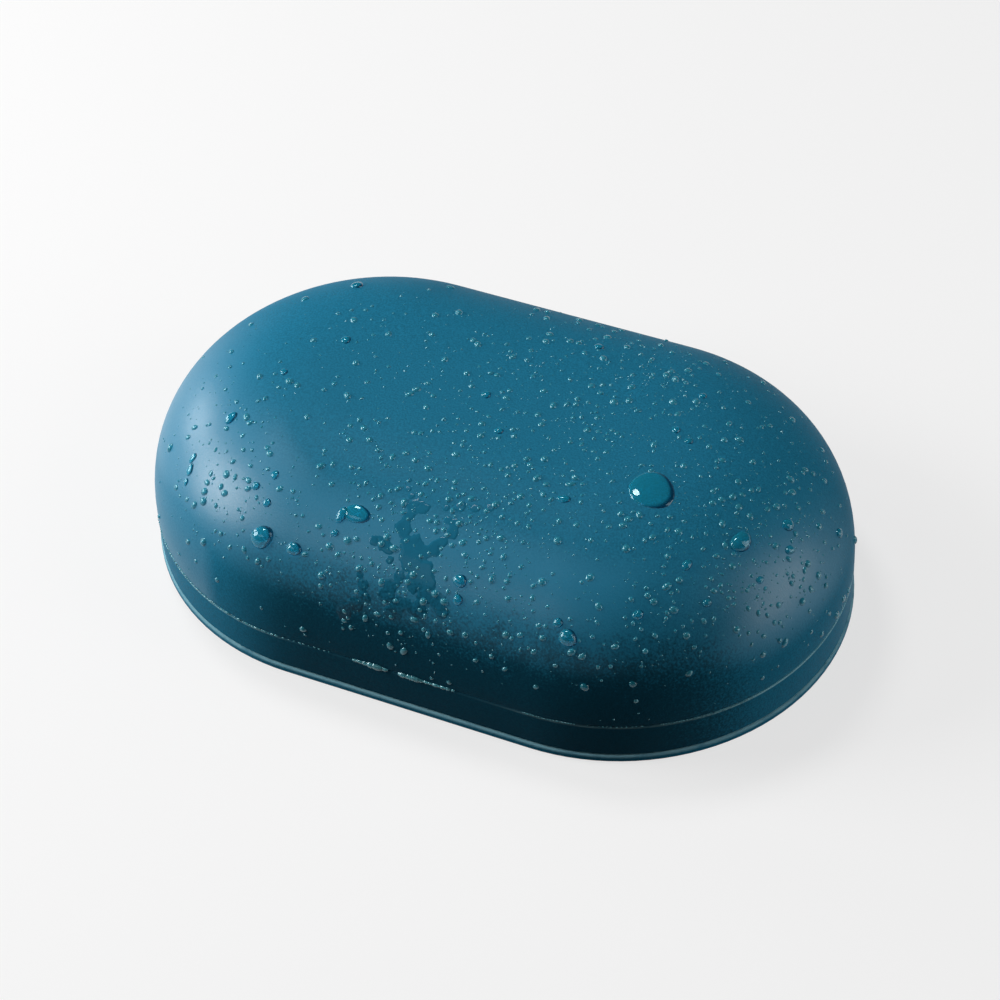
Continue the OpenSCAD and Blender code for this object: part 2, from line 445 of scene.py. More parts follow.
class Nodes:
    """Adds and joins the nodes of one material or node group."""

    def __init__(self, tree):
        self.tree = tree
        self.column = 0

    def add(self, kind, **values):
        """A node of this kind; a value for a socket is set, and another node's output is joined to it."""
        node = self.tree.nodes.new(kind)
        self.column += 1
        node.location = (self.column * 180, 0)
        self.put_all(node, values)
        return node

    def put_all(self, node, values):
        """Sets or joins several of a node's properties and sockets."""
        for name, value in values.items():
            self.put(node, name, value)

    def put(self, node, name, value):
        """Sets a property or a socket, or joins an output to the socket."""
        if isinstance(name, str) and hasattr(node, name) and name not in ("inputs", "outputs"):
            setattr(node, name, value)
            return
        socket = node.inputs[name]
        if isinstance(value, bpy.types.NodeSocket):
            self.tree.links.new(value, socket)
        elif socket.type == "RGBA" and len(value) == 3:
            socket.default_value = (*value, 1)
        else:
            socket.default_value = value

    def math(self, operation, first, second=0.0, clamp=False):
        """One sum of two numbers or outputs."""
        node = self.add("ShaderNodeMath", operation=operation, use_clamp=clamp)
        self.put(node, 0, first)
        self.put(node, 1, second)
        return node.outputs[0]

    def product(self, first, *others):
        """Numbers or outputs multiplied with one another."""
        for other in others:
            first = self.math("MULTIPLY", first, other)
        return first

    def map(self, value, from_low, from_high, to_low, to_high, interpolation="LINEAR"):
        """A value carried from one range to another and kept inside it."""
        node = self.add("ShaderNodeMapRange", clamp=True, interpolation_type=interpolation)
        for name, given in zip(("Value", "From Min", "From Max", "To Min", "To Max"),
                               (value, from_low, from_high, to_low, to_high)):
            self.put(node, name, given)
        return node.outputs[0]

    def noise(self, vector, scale, detail=2.0, roughness=0.5):
        """Soft noise of features about 1 / scale metres across."""
        node = self.add("ShaderNodeTexNoise", Vector=vector, Scale=scale, Detail=detail, Roughness=roughness)
        return node.outputs[0]

    def mix(self, factor, first, second):
        """A colour between two colours."""
        node = self.add("ShaderNodeMix", data_type="RGBA")
        self.put_all(node, {0: factor, 6: first, 7: second})
        return node.outputs[2]


def new_group(name, inputs, outputs):
    """A new shader node group, with its number inputs and its number outputs."""
    group = bpy.data.node_groups.new(name, "ShaderNodeTree")
    group.interface.new_socket("Vector", in_out="INPUT", socket_type="NodeSocketVector")
    for socket, default in inputs.items():
        made = group.interface.new_socket(socket, in_out="INPUT", socket_type="NodeSocketFloat")
        made.default_value = default
    for socket in outputs:
        group.interface.new_socket(socket, in_out="OUTPUT", socket_type="NodeSocketFloat")
    nodes = Nodes(group)
    return nodes, nodes.add("NodeGroupInput").outputs, nodes.add("NodeGroupOutput")


# How a mask changes along a coordinate, in metres: where that starts and stops, the value before and after
Change = namedtuple("Change", "start stop before after")

# The sheen's edges lie lower round both ends and higher towards the left, with half a sheen in the left
# corner and a quiet place at the right one; it is full in front of SHEEN_FRONT, faint on the top, and
# weaker and stronger with the grain's speckle
SHEEN_LOWER_AT_ENDS = Change(0.046, 0.057, 0.0, 0.004)
SHEEN_HIGHER_AT_LEFT = Change(-0.032, -0.020, 0.0014, 0.0)
SHEEN_IN_LEFT_CORNER = Change(-0.039, -0.0355, 0.56, 0.0)
SHEEN_FRONT = -0.010
RIGHT_CORNER_X = 0.0435
SHEEN_PAST_CORNER = Change(0.004, 0.0115, 0.35, 1.0)
SHEEN_ON_TOP = 0.03
SHEEN_SPECKLE = (0.85, 1.1)

# Painted shade: the colour is darkened low on the front, where the box lies in shade, from a little right of
# the left end, and reaching back at the right; two noises make its edge ragged
PAINTED_SHADE_HEIGHT = Change(0.017, 0.027, 1.0, 0.0)
PAINTED_SHADE_DEPTH = Change(-0.038, -0.028, 1.0, 0.0)
PAINTED_SHADE_DEEPER_AT_RIGHT = Change(0.020, 0.060, 0.0, 0.008)
PAINTED_SHADE_FROM_LEFT = Change(-0.037, -0.016, 0.0, 1.0)
PAINTED_SHADE_RAGGED = Change(0.2, 0.8, -0.0035, 0.0035)
PAINTED_SHADE_STIPPLE = Change(0.3, 0.7, -0.003, 0.003)
PAINTED_SHADE_TONE = 0.1

# Water stands in the seam along the front as far as this, and there the lighter edge, partly a painted
# highlight, is turned down to the last share
WET_SEAM_UP_TO = Change(0.012, 0.026, 1.0, 0.0)
WET_SEAM_DEPTH = Change(-0.039, -0.036, 1.0, 0.0)
WET_SEAM_EDGE_SHARE = 0.12

# The broad waves under the grain, how far speckles and clouds shift the roughness, and their darker tone
WAVE_SCALE = 420.0
WAVE_HEIGHT = 0.004 * MM
SPECKLE_ROUGHNESS = 0.04
CLOUD_ROUGHNESS = 0.02
CLOUD_TONE = 0.93

# A lighter edge without a colour of its own, partly worn and partly a painted highlight on its curve, is the
# piece's colour made lighter by this
WORN_AND_LIT_EDGE_TONE = 1.9
WORN_AND_LIT_EDGE_LIFT = 0.02

# Water's bend of light, a little more than real so that drops show; its roughness, calm and in fine beads;
# and its cool glint
WATER_IOR = 1.42
CALM_WATER = 0.03
FINE_WATER = 0.1
WATER_GLINT = (0.7, 0.95, 1.0)

# Where a large drop is painted dark, as painted shade on the side away from the key window, in radii from a
# middle that is shifted towards that window
CRESCENT = Change(0.88, 1.06, 0.0, 1.0)
CRESCENT_SHIFT = Vector((0.19, 0.062, 0))


def toned(colour, factor):
    """A colour made lighter or darker."""
    return [min(part * factor, 1) for part in colour]


def moulded_grain():
    """Node group: the fine grain of a moulded surface, as a height in metres and as a speckle from 0 to 1."""
    if "Moulded grain" in bpy.data.node_groups:
        return bpy.data.node_groups["Moulded grain"]
    nodes, given, result = new_group(
        "Moulded grain", {"Size": 0.00016, "Depth": 0.00001}, ("Height", "Speckle")
    )
    fine = nodes.noise(given["Vector"], nodes.math("DIVIDE", 1.0, given["Size"]), detail=2.5, roughness=0.6)
    broad = nodes.noise(given["Vector"], WAVE_SCALE, detail=1.0)
    bumps = nodes.math("MULTIPLY", fine, given["Depth"])
    waves = nodes.math("MULTIPLY", broad, WAVE_HEIGHT)
    nodes.put(result, "Height", nodes.math("ADD", bumps, waves))
    nodes.put(result, "Speckle", nodes.map(fine, 0.35, 0.65, 0.0, 1.0))
    return nodes.tree


def wear_and_painted_light():
    """Node group: masks for clouds, a lighter band along one edge that is partly worn and partly a painted
    highlight, a sheen that also places a painted highlight, painted shade low on the front, and a wet seam.
    """
    if "Soft wear" in bpy.data.node_groups:
        return bpy.data.node_groups["Soft wear"]
    nodes, given, result = new_group(
        "Soft wear", {"Edge height": 0.009, "Edge width": 0.0008, "Sheen from": 0.015, "Sheen to": 0.024,
                      "Sheen fades": 0.031, "Sheen ends": 0.034, "Sheen behind": 0.024},
        ("Clouds", "Edge", "Sheen", "Damp", "Wet seam")
    )
    clouds = nodes.noise(given["Vector"], 65.0, detail=4.0, roughness=0.6)
    nodes.put(result, "Clouds", nodes.map(clouds, 0.3, 0.7, 0.0, 1.0))
    parts = nodes.add("ShaderNodeSeparateXYZ", Vector=given["Vector"]).outputs
    height = parts["Z"]
    away = nodes.math("ABSOLUTE", nodes.math("SUBTRACT", height, given["Edge height"]))
    near = nodes.math("SUBTRACT", 1.0, nodes.math("DIVIDE", away, given["Edge width"]), clamp=True)
    rubbed = nodes.map(nodes.noise(given["Vector"], 260.0, detail=3.0), 0.25, 0.5, 0.3, 1.0)
    nodes.put(result, "Edge", nodes.math("MULTIPLY", near, rubbed))
    nodes.put(result, "Sheen", sheen_mask(nodes, given, parts))
    damp, wet_seam = shade_and_wet_seam_masks(nodes, given, parts)
    nodes.put(result, "Damp", damp)
    nodes.put(result, "Wet seam", wet_seam)
    return nodes.tree


def sheen_mask(nodes, given, parts):
    """Strength of the sheen, which also places the painted highlight colour: a band round the front shoulder
    with soft edges.
    """
    height = parts["Z"]
    lower = nodes.math("ADD", height, nodes.map(nodes.math("ABSOLUTE", parts["X"]), *SHEEN_LOWER_AT_ENDS))
    rise = nodes.map(lower, given["Sheen from"], given["Sheen to"], 0.0, 1.0, "SMOOTHSTEP")
    rise = nodes.math("MAXIMUM", rise, nodes.map(parts["X"], *SHEEN_IN_LEFT_CORNER))
    higher = nodes.math("SUBTRACT", height, nodes.map(parts["X"], *SHEEN_HIGHER_AT_LEFT))
    fall = nodes.map(higher, given["Sheen fades"], given["Sheen ends"], 1.0, SHEEN_ON_TOP, "SMOOTHSTEP")
    front = nodes.map(parts["Y"], SHEEN_FRONT, given["Sheen behind"], 1.0, 0.0, "SMOOTHSTEP")
    from_corner = nodes.math("ABSOLUTE", nodes.math("SUBTRACT", parts["X"], RIGHT_CORNER_X))
    corner = nodes.map(from_corner, *SHEEN_PAST_CORNER, "SMOOTHSTEP")
    return nodes.product(rise, fall, front, corner)


def shade_and_wet_seam_masks(nodes, given, parts):
    """Painted shade low on the front, with a ragged edge, and the stretch of seam that holds water."""
    ragged = nodes.noise(given["Vector"], 240.0, detail=5.0, roughness=0.65)
    ragged = nodes.map(ragged, *PAINTED_SHADE_RAGGED)
    stipple = nodes.map(nodes.noise(given["Vector"], 2400.0, detail=1.0), *PAINTED_SHADE_STIPPLE)
    uneven = nodes.math("ADD", parts["Z"], nodes.math("ADD", ragged, stipple))
    low = nodes.map(uneven, *PAINTED_SHADE_HEIGHT, "SMOOTHSTEP")
    aside = nodes.math("SUBTRACT", parts["Y"], nodes.map(parts["X"], *PAINTED_SHADE_DEEPER_AT_RIGHT))
    forward = nodes.map(nodes.math("ADD", aside, stipple), *PAINTED_SHADE_DEPTH, "SMOOTHSTEP")
    inward = nodes.map(parts["X"], *PAINTED_SHADE_FROM_LEFT, "SMOOTHSTEP")
    before = nodes.map(parts["X"], *WET_SEAM_UP_TO, "SMOOTHSTEP")
    wall = nodes.map(parts["Y"], *WET_SEAM_DEPTH, "SMOOTHSTEP")
    return nodes.product(low, forward, inward), nodes.product(inward, before, wall)


def new_material(name):
    """A new material with its node adder, its shader and the object's own coordinates."""
    material = bpy.data.materials.new(name)
    material.use_nodes = True
    material.node_tree.nodes.clear()
    nodes = Nodes(material.node_tree)
    output = nodes.add("ShaderNodeOutputMaterial")
    shader = nodes.add("ShaderNodeBsdfPrincipled")
    nodes.put(output, "Surface", shader.outputs[0])
    place_on_piece = nodes.add("ShaderNodeTexCoord").outputs["Object"]
    return material, nodes, shader, place_on_piece


def moulded_finish(name, base, roughness, gloss, edge_height, edge_width, grain=1.0, rubbed=0.25, sheen=0.0,
                   edge=None, damp=0.0):
    """A moulded plastic or rubber: fine grain, a little cloudiness and lighter edges, partly worn and partly
    a painted highlight; a sheen brings a painted highlight, and a shade share brings painted shade on the
    lower front.
    """
    finish = settings().finish
    material, nodes, shader, here = new_material(name)
    texture = nodes.add("ShaderNodeGroup", node_tree=moulded_grain(), Vector=here, Size=finish.grain_size,
                        Depth=finish.grain_depth * grain)
    wear_and_light = nodes.add("ShaderNodeGroup", node_tree=wear_and_painted_light(), Vector=here)
    nodes.put_all(wear_and_light, {"Edge height": edge_height, "Edge width": edge_width})
    lighter = edge or [min(part * WORN_AND_LIT_EDGE_TONE + WORN_AND_LIT_EDGE_LIFT, 1) for part in base]
    flecks = nodes.mix(
        texture.outputs["Speckle"], toned(base, 1 - finish.grain_tone), toned(base, 1 + finish.grain_tone)
    )
    flecked = nodes.mix(0.5 * grain, base, flecks)
    cloudy = nodes.mix(nodes.math("MULTIPLY", wear_and_light.outputs["Clouds"], 0.5), flecked, toned(base, CLOUD_TONE))
    # Lighter edge band: partly worn, partly a painted highlight on the edge's curve
    edge_share = nodes.math("MULTIPLY", wear_and_light.outputs["Edge"], rubbed)
    if damp:
        dry = nodes.map(wear_and_light.outputs["Wet seam"], 0.0, 1.0, 1.0, WET_SEAM_EDGE_SHARE)
        edge_share = nodes.math("MULTIPLY", edge_share, dry)
    worn = nodes.mix(edge_share, cloudy, lighter)
    # Painted highlight: the colour is made lighter where the sheen lies
    if sheen:
        worn = nodes.mix(wear_and_light.outputs["Sheen"], worn, finish.painted_highlight_colour)
    # Painted shade: the lower front's colour made darker
    if damp:
        darkened = nodes.math("MULTIPLY", wear_and_light.outputs["Damp"], damp)
        worn = nodes.mix(darkened, worn, toned(base, PAINTED_SHADE_TONE))
    nodes.put(shader, "Base Color", worn)
    rough = nodes.map(
        texture.outputs["Speckle"], 0.0, 1.0, roughness - SPECKLE_ROUGHNESS, roughness + SPECKLE_ROUGHNESS
    )
    uneven = nodes.map(wear_and_light.outputs["Clouds"], 0.0, 1.0, -CLOUD_ROUGHNESS, CLOUD_ROUGHNESS)
    nodes.put(shader, "Roughness", nodes.math("ADD", rough, uneven, clamp=True))
    nodes.put(shader, "Specular IOR Level", gloss)
    bump = nodes.add("ShaderNodeBump", Height=texture.outputs["Height"], Distance=1.0, Strength=1.0)
    nodes.put(shader, "Normal", bump.outputs[0])
    if sheen:
        for edge_name in ("from", "to", "fades", "ends", "behind"):
            nodes.put(wear_and_light, f"Sheen {edge_name}", getattr(finish, f"sheen_{edge_name}"))
        least, most = (sheen * part for part in SHEEN_SPECKLE)
        speckled = nodes.map(texture.outputs["Speckle"], 0.0, 1.0, least, most)
        nodes.put(shader, "Coat Weight", nodes.math("MULTIPLY", wear_and_light.outputs["Sheen"], speckled, clamp=True))
        nodes.put(shader, "Coat Roughness", finish.sheen_roughness)
    return material


def shell_finish(name, base, edge_height, edge_width, **more):
    """The moulded finish of the pieces that make the outside of the box."""
    finish = settings().finish
    return moulded_finish(
        name, base, finish.shell_roughness, finish.shell_gloss, edge_height, edge_width, **more
    )


def water_finish(name, tint, clearness, roughness, shade, rim=None):
    """Water with a tint of the shell, which lets some of the light through to what it lies on.

    A rim is the colour of the painted shade, a dark crescent on the side of a drop that is turned from the
    window.
    """
    material, nodes, shader, _ = new_material(name)
    nodes.put_all(shader, {
        "Base Color": tint, "Roughness": roughness, "IOR": WATER_IOR, "Specular IOR Level": 1.0,
        "Specular Tint": WATER_GLINT, "Transmission Weight": clearness,
    })
    if rim:
        turned = nodes.add("ShaderNodeAttribute", attribute_name="turned_away").outputs["Fac"]
        nodes.put(shader, "Base Color", nodes.mix(nodes.map(turned, *CRESCENT, "SMOOTHSTEP"), tint, rim))
    clear = nodes.add("ShaderNodeBsdfTransparent", Color=shade)
    path = nodes.add("ShaderNodeLightPath")
    both = nodes.add("ShaderNodeMixShader")
    nodes.put_all(both, {0: path.outputs["Is Shadow Ray"], 1: shader.outputs[0], 2: clear.outputs[0]})
    output = next(node for node in nodes.tree.nodes if node.type == "OUTPUT_MATERIAL")
    nodes.put(output, "Surface", both.outputs[0])
    return material


def film_finish():
    """A thin film of water on the shell: the shell's colour, darker, under a smooth surface, with the painted
    shade of the lower front.
    """
    finish = settings().finish
    material, nodes, shader, here = new_material("Wet film")
    darker = toned(finish.shell_colour, 0.82)
    clouds = nodes.map(nodes.noise(here, 160.0, detail=3.0), 0.35, 0.65, 0.0, 1.0)
    cloudy = nodes.mix(clouds, darker, toned(finish.shell_colour, 0.95))
    wear_and_light = nodes.add("ShaderNodeGroup", node_tree=wear_and_painted_light(), Vector=here)
    # The painted shade of the lower front goes on over the wet patches
    damp = nodes.math("MULTIPLY", wear_and_light.outputs["Damp"], finish.damp)
    nodes.put_all(shader, {
        "Base Color": nodes.mix(damp, cloudy, toned(darker, PAINTED_SHADE_TONE)),
        "Roughness": nodes.map(clouds, 0.0, 1.0, 0.1, 0.18), "IOR": 1.33, "Specular IOR Level": 0.15,
    })
    return material


class SOAPBOX_OT_lid(bpy.types.Operator):
    """Makes the domed lid, one shell with an even wall"""

    bl_idname = "soapbox.lid"
    bl_label = "Lid"

    def execute(self, context):
        lid, finish = settings().lid, settings().finish
        inner = END_R - lid.wall
        inner_top = TOP_Z - lid.wall
        outside = arc(END_R - lid.rim_radius, SEAM_Z + lid.rim_radius, lid.rim_radius, -90, 0)
        outside += shoulder(END_R, SEAM_Z, TOP_Z)
        inside = shoulder(inner, SEAM_Z, inner_top)[::-1]
        inside += arc(inner + lid.rim_radius, SEAM_Z + lid.rim_radius, lid.rim_radius, 180, 270)
        profile = [(0, TOP_Z)] + outside[::-1] + inside[::-1] + [(0, inner_top)]
        piece = carry_round("lid", profile)
        smooth(piece)
        material = shell_finish(
            "Lid plastic", finish.shell_colour, SEAM_Z, 0.5 * MM, damp=finish.damp, sheen=finish.sheen
        )
        place(piece, "lid", "lid_plastic", material, "lid_shell")
        return {"FINISHED"}


class SOAPBOX_OT_tray(bpy.types.Operator):
    """Makes the shallow tray with its ledge, its collar and the groove for the seal"""

    bl_idname = "soapbox.tray"
    bl_label = "Tray"

    def execute(self, context):
        tray, finish = settings().tray, settings().finish
        low_z = tray_low.z
        wall_z = low_z + tray.shade_height
        floor_z = low_z + tray.floor
        ledge_z = SEAM_Z - tray.seam_gap
        collar_z = tray_high.z
        groove_z = SEAM_Z + tray.groove_up
        groove_top = groove_z + tray.groove_height
        groove_r = seal_and_collar_top() - tray.groove_depth
        inner_r = seal_and_collar_top() - tray.collar_wall
        soft = tray.collar_radius
        profile = [(0, low_z), (END_R - tray.shade_depth, low_z), (END_R - tray.shade_depth, wall_z)]
        profile += arc(END_R - tray.low_radius, wall_z + tray.low_radius, tray.low_radius, -90, 0)
        profile += arc(END_R - tray.ledge_radius, ledge_z - tray.ledge_radius, tray.ledge_radius, 0, 90)
        profile += [(collar_reach(SEAM_Z), ledge_z), (collar_reach(groove_z), groove_z), (groove_r, groove_z)]
        profile += [(groove_r, groove_top), (collar_reach(groove_top), groove_top)]
        profile += arc(collar_reach(collar_z) - soft, collar_z - soft, soft, 0, 90, 4)
        profile += arc(inner_r + soft, collar_z - soft, soft, 90, 180, 4)
        profile += arc(inner_r - tray.fillet, floor_z + tray.fillet, tray.fillet, 0, -90)
        profile += [(0, floor_z)]
        piece = carry_round("tray", profile)
        smooth(piece)
        # The ledge's lighter edge: partly worn, partly a painted highlight on its curve
        rubbed_z = ledge_z - 0.65 * tray.ledge_radius
        material = shell_finish(
            "Tray plastic", finish.base_colour, rubbed_z, ledge_z - rubbed_z,
            rubbed=1.0, edge=finish.edge_wear_and_highlight_colour, damp=finish.damp
        )
        place(piece, "base", "base_plastic", material, "base_tray")
        return {"FINISHED"}


class SOAPBOX_OT_plate(bpy.types.Operator):
    """Makes the base plate with a seat for each foot"""

    bl_idname = "soapbox.plate"
    bl_label = "Base plate"

    def execute(self, context):
        plate, finish = settings().plate, settings().finish
        low_z, high_z = plate_low.z, plate_high.z
        profile = [(0, low_z)]
        profile += arc(PLATE_R - plate.low_radius, low_z + plate.low_radius, plate.low_radius, -90, 0)
        profile += arc(PLATE_R - plate.top_radius, high_z - plate.top_radius, plate.top_radius, 0, 90, 8)
        profile += [(0, high_z)]
        piece = carry_round("base_plate_moulding", profile)
        seats = [
            upright_cylinder(64, FOOT_R + plate.foot_gap, x, y, low_z - MM, low_z + plate.foot_depth)
            for x in (-FOOT_X, FOOT_X) for y in (-FOOT_Y, FOOT_Y)
        ]
        cut(piece, join(seats, "foot_seats"))
        smooth(piece)
        # The plate's lighter upper edge: partly worn, partly a painted highlight on its curve
        material = shell_finish(
            "Base plate plastic", finish.base_colour, high_z, 0.6 * MM, rubbed=0.9, edge=finish.edge_wear_and_highlight_colour
        )
        place(piece, "base", "base_plastic", material, "base_plate")
        return {"FINISHED"}


class SOAPBOX_OT_seal(bpy.types.Operator):
    """Makes the soft seal with two round lips, in the collar's groove"""

    bl_idname = "soapbox.seal"
    bl_label = "Seal"

    def execute(self, context):
        finish = settings().finish
        low, high = seal_low.z, seal_high.z
        lip_r = (seal_high.y - seal_low.y) / 2
        back = seal_and_collar_top()
        inner = back - settings().tray.groove_depth + 0.1 * MM
        lip = (high - low) / 4
        profile = [(inner, low)]
        for middle in (low + lip, high - lip):
            profile += [(back + (lip_r - back) * math.cos(turn), middle + lip * math.sin(turn))
                        for turn in (math.radians(degrees) for degrees in range(-90, 91, 15))]
        profile += [(inner, high)]
        piece = carry_round("seal", profile, closed=True)
        smooth(piece, 40)
        material = moulded_finish(
            "Seal rubber", finish.seal_colour, roughness=0.5, gloss=0.4,
            edge_height=low, edge_width=0.3 * MM, grain=0.4, rubbed=0.1
        )
        place(piece, "base", "seal_silicone", material, "seal_ring")
        return {"FINISHED"}


class SOAPBOX_OT_rack(bpy.types.Operator):
    """Makes the slotted drain rack with its ribs, its raised edge and its legs"""

    bl_idname = "soapbox.rack"
    bl_label = "Drain rack"

    def execute(self, context):
        rack, finish = settings().rack, settings().finish
        plate_z = rack_low.z + rack.leg_height
        top_z = plate_z + rack.plate
        edge_z = top_z + rack.edge_height
        profile = [(0, plate_z), (RACK_R, plate_z), (RACK_R, edge_z), (RACK_R - rack.edge_width, edge_z)]
        profile += [(RACK_R - rack.edge_width, top_z), (0, top_z)]
        piece = carry_round("rack", profile)
        leg_reach = RACK_R - settings().tray.fillet - rack.leg_width / 2
        slot_reach = leg_reach - rack.leg_width / 2 - rack.slot_land
        least = rack.slot_least + rack.spine / 2
        slot_x_most = SIDE / 2 + math.sqrt(slot_reach ** 2 - least ** 2)
        each_way = math.floor(slot_x_most / rack.slot_pitch)
        slots = []
        for i in range(-each_way, each_way + 1):
            x = i * rack.slot_pitch
            far = self.slotted_y(x, slot_reach)
            slots += [self.slot(x, side, rack.spine / 2, far, plate_z, top_z) for side in (-1, 1)]
        cut(piece, join(slots, "slots"))
        additions = []
        for i in range(-each_way, each_way):
            x = (i + 0.5) * rack.slot_pitch
            additions.append(self.rib(x, self.slotted_y(x, slot_reach), top_z))
        leg_places = [(x * SIDE / 2, y * leg_reach) for x in (-1, 1) for y in (-1, 1)]
        leg_places += [(x * (SIDE / 2 + leg_reach), 0) for x in (-1, 1)] + [(0, 0)]
        leg_top = plate_z + rack.plate / 2
        for x, y in leg_places:
            additions.append(upright_cylinder(32, rack.leg_width / 2, x, y, rack_low.z, leg_top))
        fuse(piece, join(additions, "ribs_and_legs"))
        apply_modifier(piece, "BEVEL", width=rack.soften, segments=2, limit_method="ANGLE",
                       angle_limit=SHARP, use_clamp_overlap=True, harden_normals=False)
        smooth(piece)
        material = moulded_finish(
            "Rack plastic", finish.rack_colour, roughness=0.42, gloss=0.5,
            edge_height=top_z, edge_width=0.6 * MM, grain=0.3, rubbed=0.1
        )
        place(piece, "rack", "rack_plastic", material, "drain_rack")
        return {"FINISHED"}

    def slotted_y(self, x, reach):
        """Half width of the slotted part of the rack at a distance x from its middle."""
        return math.sqrt(reach ** 2 - max(abs(x) - SIDE / 2, 0) ** 2)

    def slot(self, x, side, near, far, low, high):
        """A cutter for one drain slot with round ends."""
        rack = settings().rack
        radius = rack.slot_width / 2
        deselect()
        bpy.ops.mesh.primitive_circle_add(vertices=24, radius=radius, fill_type="NGON",
                                          location=(0, 0, 0), enter_editmode=True)
        cutter = bpy.context.object
        select_where(cutter, "verts", lambda vertex: vertex.co.y > 0.01 * MM)
        bpy.ops.transform.translate(value=(0, far - near - 2 * radius, 0))
        bpy.ops.mesh.select_all(action="SELECT")
        bpy.ops.transform.translate(value=(x, near + radius, low - MM))
        bpy.ops.mesh.extrude_region_move(TRANSFORM_OT_translate={"value": (0, 0, high - low + 2 * MM)})
        bpy.ops.mesh.select_all(action="SELECT")
        if side < 0:
            bpy.ops.transform.mirror(constraint_axis=(False, True, False), orient_type="GLOBAL",
                                     center_override=(0, 0, 0))
        leave_closed()
        return cutter

    def rib(self, x, reach, top):
        """One round-topped rib across the rack."""
        rack = settings().rack
        deselect()
        bpy.ops.mesh.primitive_cylinder_add(vertices=24, radius=rack.rib_width / 2, depth=2 * reach,
                                            location=(x, 0, top), rotation=(math.pi / 2, 0, 0))
        rib = bpy.context.object
        bpy.ops.object.transform_apply(location=True, rotation=True, scale=True)
        bpy.ops.object.mode_set(mode="EDIT")
        bpy.ops.mesh.select_all(action="SELECT")
        bpy.ops.transform.resize(value=(1, 1, rack.rib_height / (rack.rib_width / 2)),
                                 center_override=(x, 0, top))
        bpy.ops.object.mode_set(mode="OBJECT")
        return rib


class SOAPBOX_OT_feet(bpy.types.Operator):
    """Makes the four soft feet, one modelled and three copied"""

    bl_idname = "soapbox.feet"
    bl_label = "Feet"

    def execute(self, context):
        plate, finish = settings().plate, settings().finish
        template = upright_cylinder(64, FOOT_R, 0, 0, 0, foot_high.z)
        bpy.ops.object.mode_set(mode="EDIT")
        select_where(template, "faces", lambda face: face.normal.z < -0.9)
        bpy.ops.mesh.inset(thickness=0.9 * MM)
        bpy.ops.object.mode_set(mode="OBJECT")
        bpy.ops.object.transform_apply(location=True, rotation=True, scale=True)
        apply_modifier(template, "BEVEL", width=plate.foot_radius, segments=4, limit_method="ANGLE",
                       angle_limit=SHARP)
        smooth(template)
        material = moulded_finish(
            "Foot rubber", finish.foot_colour, roughness=0.6, gloss=0.35,
            edge_height=0.0, edge_width=0.2 * MM, rubbed=0.3
        )
        for row, y in (("front", -FOOT_Y), ("rear", FOOT_Y)):
            for end, x in (("left", -FOOT_X), ("right", FOOT_X)):
                piece = copy_piece(template, f"pad_{row}_{end}", (x, y, 0))
                place(piece, "base", "foot_silicone", material, f"foot_{row}_{end}")
        bpy.data.objects.remove(template)
        return {"FINISHED"}


# Width of the square picture in pixels, and of the camera's sensor in millimetres
PICTURE = 1000
SENSOR = 36


def outlook(azimuth, elevation):
    """Direction from the box towards an azimuth, turned from the front, and an elevation."""
    flat = math.cos(elevation)
    return Vector((math.sin(azimuth) * flat, -math.cos(azimuth) * flat, math.sin(elevation)))


def camera_axes():
    """The camera's right, up and back directions and its place, in the frame."""
    studio = settings().studio
    back = outlook(studio.azimuth, studio.elevation)
    level = Vector((0, 0, 1)).cross(back).normalized()
    upright = back.cross(level)
    right = level * math.cos(studio.roll) + upright * math.sin(studio.roll)
    up = upright * math.cos(studio.roll) - level * math.sin(studio.roll)
    spot = back * studio.distance - right * studio.aside - up * studio.below
    return right, up, back, spot


def sight_line(across, down):
    """Start and direction of the line of sight through a pixel of the square picture."""
    right, up, back, spot = camera_axes()
    focal = settings().studio.lens * PICTURE / SENSOR
    way = right * ((across - PICTURE / 2) / focal) - up * ((down - PICTURE / 2) / focal) - back
    return spot, way.normalized()


